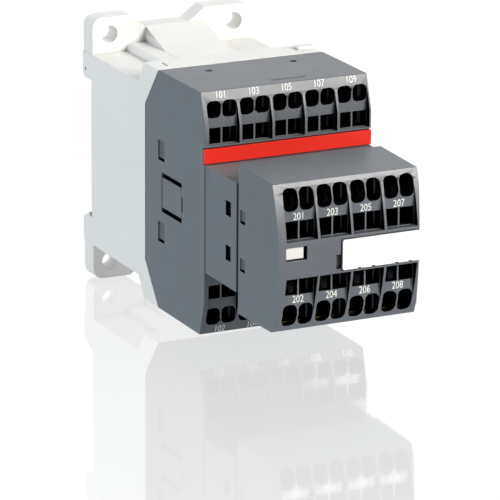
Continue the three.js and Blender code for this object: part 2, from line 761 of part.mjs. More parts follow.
function auxChambers() {
  const x = [BLOCK_LEFT + BLOCK_WALL, BLOCK_RIGHT - BLOCK_WALL];
  const chamber = block(x, [BLOCK_CHAMBER_FRONT, BLOCK_BACK + CUT], around(0, BLOCK_CHAMBER_TOP));
  const low = BLOCK_SHELF_TOP - BLOCK_SHELF_THICK;
  const middle = block(x, [BLOCK_FACE + 1.5, BLOCK_CHAMBER_FRONT + 0.5], around(0, low));
  const webs = [0, 1, 2].map((i) => {
    const centre = BLOCK_FIRST_POLE + (i + 0.5) * POLE_PITCH;
    const web = (z) => block(around(centre, 0.4), [BLOCK_CHAMBER_FRONT - 1, -92.4], z);
    return bothHalves(web, [low, BLOCK_CHAMBER_TOP + 1]);
  });
  const shelf = (z) => block([BLOCK_LEFT, BLOCK_RIGHT], [BLOCK_CHAMBER_FRONT - 1, -96.6], z);
  const shelves = bothHalves(shelf, [low, BLOCK_SHELF_TOP]);
  return chamber.subtract(joined(webs)).subtract(shelves).add(middle);
}

// The window for the indicator, the seat of the marker plate and the finger notch beside it.
function blockFaceCuts() {
  const face = [BLOCK_FACE - CUT, BLOCK_FACE + CUT];
  const window = block(
    [INDICATOR_X[0] - WINDOW_MARGIN.left, INDICATOR_X[1] + WINDOW_MARGIN.right],
    face,
    [INDICATOR_Z[0] - WINDOW_MARGIN.below, INDICATOR_Z[1] + WINDOW_MARGIN.above],
  );
  const seat = block(
    [MARKER_X[0] - GAP, BLOCK_RIGHT + CUT],
    [BLOCK_FACE - CUT, BLOCK_FACE + 0.4],
    [MARKER_Z[0] - GAP, MARKER_Z[1] + GAP],
  );
  const notchY = [BLOCK_FACE - CUT, BLOCK_FACE + MARKER_NOTCH.depth];
  return joined([window, seat, block(MARKER_NOTCH.x, notchY, MARKER_NOTCH.z)]);
}

// The slope that takes the block's front right edge back.
function blockEdgeSlope() {
  const slope = outline([
    [BLOCK_RIGHT + CUT, BLOCK_EDGE - 1.2],
    [BLOCK_RIGHT, BLOCK_EDGE - 1.2],
    [BLOCK_RIGHT - 0.9, BLOCK_FACE],
    [BLOCK_RIGHT - 0.9, BLOCK_FACE - CUT],
    [BLOCK_RIGHT + CUT, BLOCK_FACE - CUT],
  ]);
  const geometry = extruded(slope, 2 * LUG_TOP, [AXIS_X, AXIS_Y, AXIS_Z]);
  geometry.translate(0, 0, -LUG_TOP);
  return solidFrom(geometry);
}

// A recess in one side of the block, over each latch of the rear cover.
function blockLatchRecesses(side) {
  const halfWidth = (BLOCK_RIGHT - BLOCK_LEFT) / 2;
  const middle = (BLOCK_RIGHT + BLOCK_LEFT) / 2;
  const recess = (z) => sideRecess(side, halfWidth, BLOCK_LATCH_RECESS, z).translate([middle, 0, 0]);
  return recess(BLOCK_LATCH_RECESS.z).add(recess(mirrored(BLOCK_LATCH_RECESS.z)));
}

function auxHousing() {
  const upper = joined(blockPoleCentres().map((x) => terminalCuts(x + TERMINAL_SHIFT, BLOCK_TERMINAL)));
  return alongX(auxHousingOutline(), [BLOCK_LEFT, BLOCK_RIGHT], 6)
    .subtract(auxChambers())
    .subtract(joined([upper, upper.mirror([0, 0, 1]), blockFaceCuts(), blockEdgeSlope()]))
    .subtract(joined([blockLatchRecesses(-1), blockLatchRecesses(1)]));
}

// The cover that closes the front block's back, with four latches that hook into the neck.
function auxRearCover() {
  const inset = BLOCK_WALL + GAP;
  const plate = block(
    [BLOCK_LEFT + inset, BLOCK_RIGHT - inset],
    [COVER_FRONT, COVER_BACK],
    around(0, BLOCK_CHAMBER_TOP - GAP),
  );
  const coverY = [COVER_FRONT - CUT, COVER_BACK + CUT];
  const driveHole = block(around(0, DRIVE_HALF_X), coverY, around(0, DRIVE_HALF_Z));
  const latch = (armX, hookX, hookY) => (z) => {
    const levelled = z.map((value) => value - BLOCK_Z);
    const arm = block(armX, [COVER_BACK - 0.5, LATCH_TIP], levelled);
    return arm.add(block(hookX, hookY, levelled));
  };
  const left = latch(LEFT_LATCH_X, [-21.6, -20], [LATCH_TIP - 1.8, LATCH_TIP]);
  const right = latch(RIGHT_LATCH_X, [12.9, 14.2], [LATCH_TIP - 3.5, LATCH_TIP - 1.7]);
  return joined([
    plate.subtract(driveHole),
    bothHalves(left, LATCH_Z),
    bothHalves(right, LATCH_Z),
  ]);
}

function markerPlate() {
  return block(MARKER_X, [BLOCK_FACE - 0.5, BLOCK_FACE + 0.1], MARKER_Z);
}

// ---------------------------------------------------------------- contacts and clamps

function rivet(y, z, high) {
  const geometry = new THREE.CylinderGeometry(1.3, 1.3, high + 0.2, 10);
  geometry.translate(0, y, z);
  return solidFrom(geometry);
}

function mainFixedContact() {
  const strip = bentStrip([[-62.8, BAR_Z], [FIXED_Y, BAR_Z], [FIXED_Y, FIXED_TIP_Z]], 1, BAR_THICK, 2.5);
  return strip.add(rivet(FIXED_Y - BAR_THICK / 2 - RIVET_HIGH / 2 + 0.1, RIVET_Z, RIVET_HIGH));
}

function coilTerminal() {
  const seatY = BOBBIN_FRONT - 1.1 - GAP - BAR_THICK / 2;
  const corners = [[-62.8, BAR_Z], [-45.6, BAR_Z], [-45.6, 19.5], [seatY, 19.5], [seatY, 11.5]];
  return bentStrip(corners, 1, BAR_THICK, 2);
}

function auxFixedContact() {
  const corners = [[-101.9, BLOCK_BAR_Z], [BLOCK_FIXED_Y, BLOCK_BAR_Z], [BLOCK_FIXED_Y, BLOCK_TIP_Z]];
  const rivetY = BLOCK_FIXED_Y - BLOCK_BAR_THICK / 2 - BLOCK_RIVET_HIGH / 2 + 0.1;
  return bentStrip(corners, 1, BLOCK_BAR_THICK, 2.5).add(rivet(rivetY, BLOCK_RIVET_Z, BLOCK_RIVET_HIGH));
}

// A bent leaf with two tongues: each tongue's free end presses a wire outwards against the fixed contact.
function clampSpring(corners, halfWidth) {
  const leaf = bentStrip(corners, 0.9, 0.4, halfWidth);
  const [tongueEnd, bend] = corners;
  const slitY = [bend[0] + 0.8, tongueEnd[0] + CUT];
  const slit = block(around(0, 0.4), slitY, [bend[1] + 0.5, tongueEnd[1] + CUT]);
  return leaf.subtract(slit);
}

function mainClampSpring() {
  return clampSpring([[-57.5, 27.2], [-62.6, 23], [-56.4, 17.75], [-51.8, 17.75]], 3.1);
}

function auxClampSpring() {
  return clampSpring([[-97.2, 15.6], [-101.6, 10.6], [-98.9, 4.95], [-96.8, 4.95]], 3.6);
}

function contactBridge(back, rivetHigh, rivetZ) {
  const strip = block(around(0, BRIDGE_HALF_X), [back - BRIDGE_THICK, back], around(0, rivetZ + 1.6));
  const upper = rivet(back + rivetHigh / 2 - 0.1, rivetZ, rivetHigh);
  const lower = rivet(back + rivetHigh / 2 - 0.1, -rivetZ, rivetHigh);
  return joined([strip, upper, lower]);
}

// ---------------------------------------------------------------- assembly

const relay = new THREE.Group();

function place(name, solid, material, parent = relay, x = 0) {
  const mesh = new THREE.Mesh(geometryFrom(solid), material);
  mesh.name = name;
  mesh.position.x = x;
  parent.add(mesh);
  return mesh;
}

// A piece of the upper row, and the same piece turned over about the Y axis in the lower row.
function placePair(name, solid, material, parent, x) {
  place(`${name}_upper`, solid, material, parent, x);
  place(`${name}_lower`, solid, material, parent, x).rotation.y = Math.PI;
}

place('base_housing', baseHousing(), lightGrey);
place('rail_clip', railClip(), steel);
place('magnet_core', magnetCore(), iron);
place('coil_bobbin', coilBobbin(), natural);
place('coil_winding', coilWinding(), copper);
place('return_spring_left', returnSpring(), steel, relay, -SPRING_X);
place('return_spring_right', returnSpring(), steel, relay, SPRING_X);

place('terminal_housing', terminalHousing(), darkGrey);
place('marking_band', markingBand(), red);
place('contact_carrier', contactCarrier(), black);
place('armature', armature(), iron);

const mainContact = mainFixedContact();
const mainSpring = mainClampSpring();
const mainBridge = contactBridge(MAIN_BRIDGE_BACK, RIVET_HIGH, RIVET_Z);
columnCentres().forEach((x, i) => {
  const isPole = i < POLES;
  const contactName = isPole ? `main_fixed_contact_${i + 1}` : 'coil_terminal';
  const springName = isPole ? `main_clamp_spring_${i + 1}` : 'coil_clamp_spring';
  placePair(contactName, isPole ? mainContact : coilTerminal(), isPole ? brass : silver, relay, x);
  placePair(springName, mainSpring, steel, relay, x);
  if (isPole) {
    place(`main_contact_bridge_${i + 1}`, mainBridge, copper, relay, x);
  }
});

const frontBlock = new THREE.Group();
frontBlock.position.z = BLOCK_Z;
relay.add(frontBlock);

place('aux_housing', auxHousing(), darkGrey, frontBlock);
place('aux_rear_cover', auxRearCover(), black, frontBlock);
place('marker_plate', markerPlate(), white, frontBlock);
place('aux_carrier', auxCarrier(), black, frontBlock);
place('position_indicator', positionIndicator(), white, frontBlock);

const auxContact = auxFixedContact();
const auxSpring = auxClampSpring();
const auxBridge = contactBridge(BLOCK_BRIDGE_BACK, BLOCK_RIVET_HIGH, BLOCK_RIVET_Z);
blockPoleCentres().forEach((x, i) => {
  placePair(`aux_fixed_contact_${i + 1}`, auxContact, brass, frontBlock, x);
  placePair(`aux_clamp_spring_${i + 1}`, auxSpring, steel, frontBlock, x);
  place(`aux_contact_bridge_${i + 1}`, auxBridge, copper, frontBlock, x);
});

export default relay;
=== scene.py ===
"""Looks of an eight-pole DIN rail contactor.

Rounded moulded shells, metals, springs, terminal numbers, floor, light and camera.
"""

import json
import math

import bmesh
import bpy
from mathutils import Matrix, Vector
from mathutils.kdtree import KDTree

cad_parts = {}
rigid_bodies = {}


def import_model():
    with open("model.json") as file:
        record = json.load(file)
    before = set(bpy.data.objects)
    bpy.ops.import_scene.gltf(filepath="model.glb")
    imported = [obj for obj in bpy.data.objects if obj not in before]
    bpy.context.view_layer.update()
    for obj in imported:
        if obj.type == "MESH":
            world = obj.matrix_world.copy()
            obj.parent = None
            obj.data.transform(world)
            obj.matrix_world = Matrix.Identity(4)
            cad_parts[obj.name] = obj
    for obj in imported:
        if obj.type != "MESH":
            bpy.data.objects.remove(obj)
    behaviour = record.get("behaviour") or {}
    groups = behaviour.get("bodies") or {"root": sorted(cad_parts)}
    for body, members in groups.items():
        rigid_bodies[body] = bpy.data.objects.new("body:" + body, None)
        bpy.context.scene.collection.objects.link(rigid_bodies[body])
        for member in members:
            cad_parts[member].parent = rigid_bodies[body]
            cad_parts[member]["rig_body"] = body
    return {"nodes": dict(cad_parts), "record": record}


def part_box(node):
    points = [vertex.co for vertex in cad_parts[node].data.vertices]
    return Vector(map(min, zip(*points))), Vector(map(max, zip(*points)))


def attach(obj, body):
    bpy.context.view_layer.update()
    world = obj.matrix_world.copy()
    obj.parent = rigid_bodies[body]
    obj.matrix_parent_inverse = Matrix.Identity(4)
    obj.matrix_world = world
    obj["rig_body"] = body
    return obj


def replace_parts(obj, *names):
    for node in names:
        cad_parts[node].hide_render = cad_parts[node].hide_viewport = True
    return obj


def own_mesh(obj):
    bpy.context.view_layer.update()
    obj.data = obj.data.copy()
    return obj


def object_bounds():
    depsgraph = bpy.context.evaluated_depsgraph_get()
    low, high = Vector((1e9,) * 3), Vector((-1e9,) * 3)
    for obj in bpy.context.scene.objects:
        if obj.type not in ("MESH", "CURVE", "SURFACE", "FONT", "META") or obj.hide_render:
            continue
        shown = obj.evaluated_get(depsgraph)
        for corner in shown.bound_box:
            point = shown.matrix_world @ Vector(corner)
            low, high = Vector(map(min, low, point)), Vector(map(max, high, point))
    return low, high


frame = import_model()
cad_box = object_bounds()

MM = 0.001
BODY = "contactor"
MOVING = "moving_system"
POLES = (1, 2, 3, 4)
ROWS = ("upper", "lower")
SLOTS = {entry["node"]: entry["material_slot"] for entry in frame["record"]["subparts"]}


# ---------------------------------------------------------------- node helpers


class Tree:
    """A material's node tree, with short calls for the nodes that the materials below use."""

    def __init__(self, name):
        self.material = bpy.data.materials.new(name)
        self.material.use_nodes = True
        self.tree = self.material.node_tree
        self.shader = self.tree.nodes["Principled BSDF"]
        self.output = self.tree.nodes["Material Output"]
        self.place = self.node("ShaderNodeTexCoord").outputs["Object"]

    def node(self, kind, **inputs):
        made = self.tree.nodes.new(kind)
        for key, value in inputs.items():
            self.feed(made.inputs[key.replace("_", " ")], value)
        return made

    def feed(self, socket, value):
        if isinstance(value, bpy.types.NodeSocket):
            self.tree.links.new(value, socket)
        else:
            socket.default_value = value

    def noise(self, scale, detail=3.0, stretch=(1, 1, 1)):
        """Noise with features of about 1/scale metres, stretched along the axes."""
        mapping = self.node("ShaderNodeMapping", Vector=self.place, Scale=stretch)
        made = self.node(
            "ShaderNodeTexNoise", Vector=mapping.outputs[0], Scale=scale, Detail=detail
        )
        return made.outputs["Fac"]

    def ramp(self, value, low, high, out_low=0.0, out_high=1.0):
        made = self.node("ShaderNodeMapRange", Value=value)
        for socket, number in zip(made.inputs[1:5], (low, high, out_low, out_high)):
            socket.default_value = number
        return made.outputs[0]

    def math(self, operation, a, b=0.0):
        made = self.tree.nodes.new("ShaderNodeMath")
        made.operation = operation
        self.feed(made.inputs[0], a)
        self.feed(made.inputs[1], b)
        return made.outputs[0]

    def blend(self, factor, a, b):
        made = self.tree.nodes.new("ShaderNodeMix")
        made.data_type = "RGBA"
        colours = [socket for socket in made.inputs if socket.type == "RGBA"]
        self.feed(made.inputs[0], factor)
        self.feed(colours[0], a)
        self.feed(colours[1], b)
        return next(socket for socket in made.outputs if socket.type == "RGBA")

    def edges(self, radius):
        """How far the surface normal turns within radius: 0 on a flat face, more near an edge."""
        rounded = self.node("ShaderNodeBevel", Radius=radius)
        rounded.samples = 4
        plain = self.node("ShaderNodeNewGeometry").outputs["Normal"]
        aligned = self.tree.nodes.new("ShaderNodeVectorMath")
        aligned.operation = "DOT_PRODUCT"
        self.feed(aligned.inputs[0], rounded.outputs[0])
        self.feed(aligned.inputs[1], plain)
        return self.math("SUBTRACT", 1.0, aligned.outputs["Value"])

    def bump(self, height, strength, distance, under=None):
        made = self.node("ShaderNodeBump", Height=height, Strength=strength, Distance=distance)
        if under is not None:
            self.feed(made.inputs["Normal"], under)
        return made.outputs[0]

    def set(self, **inputs):
        for key, value in inputs.items():
            self.feed(self.shader.inputs[key.replace("_", " ")], value)
        return self.material


def rgb(red, green, blue):
    """A colour given as 0 to 255 sRGB, as the linear colour that a shader takes."""

    def linear(value):
        share = value / 255
        return share / 12.92 if share <= 0.04045 else ((share + 0.055) / 1.055) ** 2.4

    return (linear(red), linear(green), linear(blue), 1.0)


def scaled(colour, factor):
    return tuple(min(1.0, c * factor) for c in colour[:3]) + (1.0,)


# ---------------------------------------------------------------- materials

# How far away a wall still paints shade onto a plastic and a metal surface.
PLASTIC_REACH, METAL_REACH = 2.5 * MM, 14 * MM


def moulded(
    name, colour, roughness, grain=0.25, shade=0.75, edge_highlight=1.25, gloss=0.5, enclosed=(0.15, 0.8)
):
    """Moulded plastic: grain, faint flow marks, painted edge highlights and painted recess shade.

    The edge factor is how many times lighter an edge is painted, as a highlight, and shade how
    strongly a recess is painted dark, as shade. The enclosed pair is shares of open sky: shade is
    full below the first and none past the second.
    """
    t = Tree(name)
    flow = t.ramp(t.noise(60, 4, (1, 0.4, 1)), 0.3, 0.7)
    speck = t.ramp(t.noise(2600, 2), 0.35, 0.65)
    tone = t.blend(flow, scaled(colour, 0.97), scaled(colour, 1.03))
    tone = t.blend(t.math("MULTIPLY", speck, 0.35), tone, scaled(colour, 0.93))
    # Edges painted lighter: a painted highlight.
    tone = t.blend(t.ramp(t.edges(0.3 * MM), 0.02, 0.3), tone, scaled(colour, edge_highlight))
    open_sky = t.node("ShaderNodeAmbientOcclusion", Distance=PLASTIC_REACH).outputs["AO"]
    # Recesses painted dark: painted shade where walls close in.
    tone = t.blend(t.ramp(open_sky, *enclosed, shade, 0), tone, scaled(colour, 0.06))
    coarse = t.bump(t.noise(1500, 2), grain * 0.15, 0.05 * MM)
    fine = t.bump(t.noise(5200, 2), grain * 0.7, 0.02 * MM, coarse)
    rough = t.ramp(t.noise(220, 4), 0.3, 0.7, roughness - 0.02, roughness + 0.03)
    return t.set(Base_Color=tone, Roughness=rough, Normal=fine, Specular_IOR_Level=gloss)


def metal(name, colour, roughness, stretch=(1, 30, 1), tarnish=0.5):
    """Stamped or drawn metal: fine lines along one axis, dull patches, painted shade where
    enclosed.
    """
    t = Tree(name)
    lines = t.noise(1800, 3, stretch)
    patches = t.ramp(t.noise(420, 4), 0.4, 0.75)
    tone = t.blend(t.math("MULTIPLY", patches, tarnish), colour, scaled(colour, 0.55))
    open_sky = t.node("ShaderNodeAmbientOcclusion", Distance=METAL_REACH).outputs["AO"]
    # Enclosed metal painted dark: painted shade.
    tone = t.blend(t.ramp(open_sky, 0.35, 1.0, 0.97, 0), tone, scaled(colour, 0.03))
    rough = t.ramp(lines, 0.3, 0.7, roughness - 0.08, roughness + 0.1)
    drawn = t.bump(lines, 0.25, 0.03 * MM)
    return t.set(Base_Color=tone, Roughness=rough, Metallic=1.0, Normal=drawn)


def laminated(name, colour):
    """Stacked electrical sheet: dark lines between sheets half a millimetre thick, across X."""
    t = Tree(name)
    bands = t.node("ShaderNodeTexWave", Vector=t.place, Scale=100.0, Distortion=0.3)
    bands.bands_direction = "X"
    line = t.ramp(bands.outputs["Fac"], 0.05, 0.25)
    rust = t.ramp(t.noise(900, 5), 0.55, 0.75, 0, 0.35)
    tone = t.blend(line, scaled(colour, 0.35), colour)
    tone = t.blend(rust, tone, rgb(110, 84, 66))
    rough = t.ramp(t.noise(700, 3), 0.3, 0.7, 0.34, 0.5)
    stacked = t.bump(line, 0.5, 0.08 * MM)
    return t.set(Base_Color=tone, Roughness=rough, Metallic=1.0, Normal=stacked)


def printed(name, colour):
    """Pad-printed ink: slightly uneven cover."""
    t = Tree(name)
    cover = t.ramp(t.noise(1600, 3), 0.35, 0.6)
    tone = t.blend(cover, scaled(colour, 0.86), colour)
    rough = t.ramp(cover, 0, 1, 0.55, 0.42)
    return t.set(Base_Color=tone, Roughness=rough, Normal=t.bump(cover, 0.2, 0.01 * MM))


BASE_GREY = moulded(
    "light_grey_plastic", rgb(238, 237, 234), 0.42, grain=0.18, shade=0.4, edge_highlight=1.02
)
DARK_GREY = moulded(
    "dark_grey_plastic", rgb(95, 98, 104), 0.33, grain=0.14, shade=0.8, edge_highlight=1.35,
    enclosed=(0.1, 0.6),
)
# Near-black plastic for the walls inside the terminals and the latch windows: painted shade.
TERMINAL_SHADE = moulded(
    "terminal_wall_painted_shade", rgb(14, 14, 16), 0.5, shade=1.0, gloss=0.05, enclosed=(0.5, 1)
)
# A rougher copy of the housing plastic for the neck's top, its colour lighter: painted light.
NECK_TOP_LIT = moulded(
    "neck_top_painted_light", rgb(116, 118, 121), 0.62, grain=0.14, shade=0.8, edge_highlight=1.35,
    enclosed=(0.1, 0.6),
)
# Darker plastic on the floors of the side recesses: painted shade.
RECESS_SHADE = moulded(
    "recess_floor_painted_shade", rgb(66, 68, 75), 0.4, shade=0.9, edge_highlight=1.2, enclosed=(0.3, 0.9)
)
RED = moulded(
    "red_plastic", rgb(225, 40, 27), 0.36, grain=0.12, shade=0.3, edge_highlight=1.1, gloss=0.25
)
WHITE = moulded("white_plastic", rgb(250, 250, 248), 0.35, grain=0.1, shade=0.2, edge_highlight=1.0)
OFF_WHITE = moulded("off_white_plastic", rgb(222, 217, 213), 0.4, grain=0.1, shade=0.3, edge_highlight=1.0)
BLACK = moulded(
    "black_plastic", rgb(24, 24, 27), 0.45, grain=0.3, shade=1.0, edge_highlight=1.6, gloss=0.1,
    enclosed=(0.5, 1),
)
NATURAL = moulded("glass_filled_nylon", rgb(206, 198, 176), 0.5, grain=0.35, shade=0.5, edge_highlight=1.05)
INK = printed("white_ink", rgb(240, 239, 232))
IRON = laminated("laminated_iron", rgb(150, 151, 153))
BRASS = metal("brass", rgb(214, 178, 104), 0.3)
COPPER = metal("copper", rgb(205, 122, 84), 0.3, stretch=(1, 1, 30))
TINNED = metal("tinned_copper", rgb(205, 206, 208), 0.32)
STEEL = metal("spring_steel", rgb(184, 187, 191), 0.26, stretch=(30, 1, 1), tarnish=0.3)
# Dark steel for the clamp springs deep in the terminals: painted shade.
SPRING_STEEL_SHADED = metal("spring_steel_painted_shade", rgb(58, 60, 64), 0.42, stretch=(30, 1, 1))
ENAMEL = metal("enamelled_wire", rgb(178, 84, 44), 0.22, stretch=(1, 1, 8), tarnish=0.35)


# ---------------------------------------------------------------- mesh helpers

# The turn at an edge, in radians, up to which it lies in a flat face, and from which it is a
# crease between large faces or a real corner.
FLAT, CREASE, CORNER = (math.radians(angle) for angle in (0.5, 5, 28))
LARGE_FACE = 15 * MM * MM

# How much of the room next to an edge a rounding may take: of the edges that it joins, of the
# gap to the next corner, and of the height of the triangles round its ends.
CHAIN_SHARE, GAP_SHARE, HEIGHT_SHARE = 0.4, 0.42, 0.45


def link(name, mesh, material, body, smooth=True):
    """A new piece of the object that rides on a body."""
    piece = bpy.data.objects.new(name, mesh)
    bpy.context.scene.collection.objects.link(piece)
    mesh.materials.clear()
    mesh.materials.append(material)
    for polygon in mesh.polygons:
        polygon.use_smooth = smooth
    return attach(piece, body)


def tidy_solid(node):
    """A CAD node's mesh with its corners merged and its flat faces cut into good triangles."""
    bm = bmesh.new()
    bm.from_mesh(frame["nodes"][node].data)
    bmesh.ops.remove_doubles(bm, verts=bm.verts, dist=1e-6)
    flat = [e for e in bm.edges if e.calc_face_angle(0) < FLAT]
    bmesh.ops.beautify_fill(bm, faces=bm.faces[:], edges=flat, method="ANGLE")
    return bm


def flat_regions(bm):
    """Area of the flat region that each face belongs to, in square metres."""
    area = {}
    for seed in bm.faces:
        if seed in area:
            continue
        region, waiting = {seed}, [seed]
        while waiting:
            face = waiting.pop()
            for edge in face.edges:
                for other in edge.link_faces:
                    if other not in region and edge.calc_face_angle(0) < FLAT:
                        region.add(other)
                        waiting.append(other)
        total = sum(face.calc_area() for face in region)
        area.update({face: total for face in region})
    return area


def is_sharp(edge, area):
    """True for a real corner, and for a shallow crease between two large flat regions."""
    angle = edge.calc_face_angle(0)
    between_large = all(area[face] > LARGE_FACE for face in edge.link_faces)
    return angle > CORNER or (angle > CREASE and between_large)


def altitude(vertex):
    """Smallest height, over the far side, of the triangles that meet at a vertex."""
    heights = []
    for face in vertex.link_faces:
        far = [v.co for v in face.verts if v is not vertex]
        heights.append(2 * face.calc_area() / (far[0] - far[1]).length)
    return min(heights)


def nearest_gap(edge, tree, owners, reach):
    """Distance from an edge to the nearest sharp edge that it doesn't touch, at most reach."""
    touching = {e.index for v in edge.verts for e in v.link_edges}
    start, end = (v.co for v in edge.verts)
    gap = reach
    for share in (0.1, 0.5, 0.9):
        for _, index, distance in tree.find_range(start.lerp(end, share), reach):
            if owners[index] not in touching:
                gap = min(gap, distance)
    return gap


def sampled(edges, step=0.3 * MM):
    """A search tree of points along the edges, and the index of the edge that each point is on."""
    samples = []
    for edge in edges:
        count = max(2, int(edge.calc_length() / step))
        start, end = (v.co for v in edge.verts)
        samples += [(start.lerp(end, k / count), edge.index) for k in range(count + 1)]
    tree = KDTree(len(samples))
    for i, (point, _) in enumerate(samples):
        tree.insert(point, i)
    tree.balance()
    return tree, [owner for _, owner in samples]


def weigh_sharp_edges(bm, width):
    """Gives outer corners a bevel weight, less where room is short. Other creases stay crisp."""
    weight = bm.edges.layers.float.new("bevel_weight_edge")
    bm.edges.index_update()
    area = flat_regions(bm)
    sharp = [e for e in bm.edges if is_sharp(e, area)]
    kept = {e.index for e in sharp}
    tree, owners = sampled(sharp)
    for edge in sharp:
        if edge.is_convex and edge.calc_face_angle(0) > CORNER:
            chain = [e.calc_length() for v in edge.verts for e in v.link_edges if e.index in kept]
            gap = nearest_gap(edge, tree, owners, 3 * width)
            room = [CHAIN_SHARE * min(chain), GAP_SHARE * gap]
            room += [HEIGHT_SHARE * altitude(v) for v in edge.verts]
            edge[weight] = min(1.0, min(room) / width)
        else:
            edge.smooth = False


def softened(node, material, width, others=()):
    """A piece that stands for a CAD node, with its outer corners rounded as far as there is room.

    Others lists pairs of a further material and a test for the faces that take it.
    """
    bm = tidy_solid(node)
    weigh_sharp_edges(bm, width)
    for face in bm.faces:
        face.smooth = True
        fitting = [i for i, (_, test) in enumerate(others, 1) if test(face)]
        face.material_index = fitting[0] if fitting else 0
    mesh = bpy.data.meshes.new(node + "_shape")
    body = frame["nodes"][node]["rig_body"]
    piece = link(node + "_finished", mesh, material, body)
    for other, _ in others:
        mesh.materials.append(other)
    bm.to_mesh(mesh)
    bm.free()
    bevel = piece.modifiers.new("rounded_edges", "BEVEL")
    bevel.width = width
    bevel.offset_type = "WIDTH"
    bevel.segments = 3
    bevel.limit_method = "WEIGHT"
    bevel.use_clamp_overlap = False
    normals = piece.modifiers.new("flat_faces_stay_flat", "WEIGHTED_NORMAL")
    normals.keep_sharp = True
    normals.weight = 90
    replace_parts(piece, node)
    return piece


# ---------------------------------------------------------------- pieces that keep their CAD shape

# For each material slot, the material and the width of the rounded edges in millimetres.
FINISHES = {
    "base_plastic": (BASE_GREY, 0.45),
    "housing_plastic": (DARK_GREY, 0.28),
    "band_plastic": (RED, 0.12),
    "white_plastic": (WHITE, 0.15),
    "inner_plastic": (BLACK, 0.2),
    "bobbin_plastic": (NATURAL, 0.25),
    "core_iron": (IRON, 0.2),
    "contact_brass": (BRASS, 0.12),
    "bridge_copper": (COPPER, 0.1),
    "terminal_tinned": (TINNED, 0.12),
    "spring_steel": (STEEL, 0.06),
    "winding_copper": (ENAMEL, 0.1),
}
MADE_ANEW = ("coil_winding", "return_spring_left", "return_spring_right", "marker_plate")

# The plane of the recessed bands in each housing. What lies behind it is inside the terminals.
BAND_PLANE = {"terminal_housing": -65.5 * MM, "aux_housing": -104.7 * MM}

# The back and front ends, along Y, of the recesses in each housing's side walls.
RECESS_ENDS = {
    "terminal_housing": (-40.5 * MM, -44.4 * MM),
    "aux_housing": (-86.2 * MM, -89.1 * MM),
}
RECESS_DEPTHS = (0.1 * MM, 0.3 * MM)

# The windows for the front block's latches in the neck's sides, and where the neck's top starts.
WINDOW_ENDS = (-78.6 * MM, -81.4 * MM)
WINDOW_HEIGHTS = (3.7 * MM, 7.4 * MM)
NECK_BACK = -65 * MM
NECK_ABOVE = 10 * MM

# How thick a housing's outer skin is taken to be, at its sides and at its top and bottom.
SKIN = Vector((0.3, 0, 0.7)) * MM


def terminal_wall(node):
    """A test for painted shade inside the terminals: pocket walls, and all behind the bands."""
    low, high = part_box(node)

    def test(face):
        spot = face.calc_center_median()
        inside = all(low[i] + SKIN[i] < spot[i] < high[i] - SKIN[i] for i in (0, 2))
        behind = spot.y > BAND_PLANE[node] + 0.01 * MM and face.normal.y > -0.5
        return inside and (abs(face.normal.x) > 0.9 or behind)

    return test


def latch_window(face):
    """A test for the walls of the neck's side windows, black in the photo: painted shade."""
    spot = face.calc_center_median()
    along = WINDOW_ENDS[1] < spot.y < WINDOW_ENDS[0]
    upright = WINDOW_HEIGHTS[0] < abs(spot.z) < WINDOW_HEIGHTS[1]
    return abs(face.normal.x) < 0.5 and along and upright


def neck_top(face):
    """A test for the top of the neck, duller than the housing's top in the photo and painted
    lighter.
    """
    spot = face.calc_center_median()
    return face.normal.z > 0.9 and spot.y < NECK_BACK and spot.z > NECK_ABOVE


def recess_floor(node):
    """A test for the floors of the shallow side-wall recesses, which get painted shade."""
    low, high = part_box(node)
    back, front = RECESS_ENDS[node]
    least, most = RECESS_DEPTHS

    def test(face):
        spot = face.calc_center_median()
        depth = min(spot.x - low.x, high.x - spot.x)
        return abs(face.normal.x) > 0.9 and least < depth < most and front < spot.y < back

    return test


def finished_pieces():
    """A rounded piece for each CAD node, apart from the few that are made anew below."""
    for node, slot in SLOTS.items():
        material, width = FINISHES[slot]
        if node in BAND_PLANE:
            # Terminal walls, latch windows and side recess floors get painted shade; the neck's top
            # painted light.
            others = [(TERMINAL_SHADE, terminal_wall(node)), (RECESS_SHADE, recess_floor(node))]
            if node == "terminal_housing":
                others += [(TERMINAL_SHADE, latch_window), (NECK_TOP_LIT, neck_top)]
            softened(node, material, width * MM, others)
        elif node == "aux_rear_cover":
            softened(node, BLACK, width * MM)
        elif node == "position_indicator":
            softened(node, OFF_WHITE, width * MM)
        # The clamp springs take the dark steel: painted shade.
        elif "clamp_spring" in node:
            softened(node, SPRING_STEEL_SHADED, width * MM)
        elif node not in MADE_ANEW:
            softened(node, material, width * MM)


finished_pieces()


# ---------------------------------------------------------------- springs and winding


# The enamelled wire's spacing, how far each turn stands proud, and the winding's corners and bore.
WIRE_PITCH = 0.45 * MM
WIRE_PROUD = 0.2 * MM
WINDING_CORNER = 4 * MM
BORE_HALF_X, BORE_HALF_Z, BORE_CORNER = 8.6 * MM, 7.1 * MM, 1 * MM

STEPS_PER_TURN = 22


def sweep(points, radius, sides=10):
    """A closed round wire that follows the points."""
    bm = bmesh.new()
    rings = []
    for i, point in enumerate(points):
        along = (points[min(i + 1, len(points) - 1)] - points[max(i - 1, 0)]).normalized()
        aside = along.orthogonal() if i == 0 else aside - along * aside.dot(along)
        aside.normalize()
        across = along.cross(aside)
        turns = [2 * math.pi * k / sides for k in range(sides)]
        offsets = [radius * (math.cos(a) * aside + math.sin(a) * across) for a in turns]
        rings.append([bm.verts.new(point + offset) for offset in offsets])
    for before, after in zip(rings, rings[1:]):
        for k in range(sides):
            n = (k + 1) % sides
            bm.faces.new((before[k], before[n], after[n], after[k]))
    bm.faces.new(reversed(rings[0]))
    bm.faces.new(rings[-1])
    bmesh.ops.recalc_face_normals(bm, faces=bm.faces)
    mesh = bpy.data.meshes.new("wire")
    bm.to_mesh(mesh)
    bm.free()
    return mesh


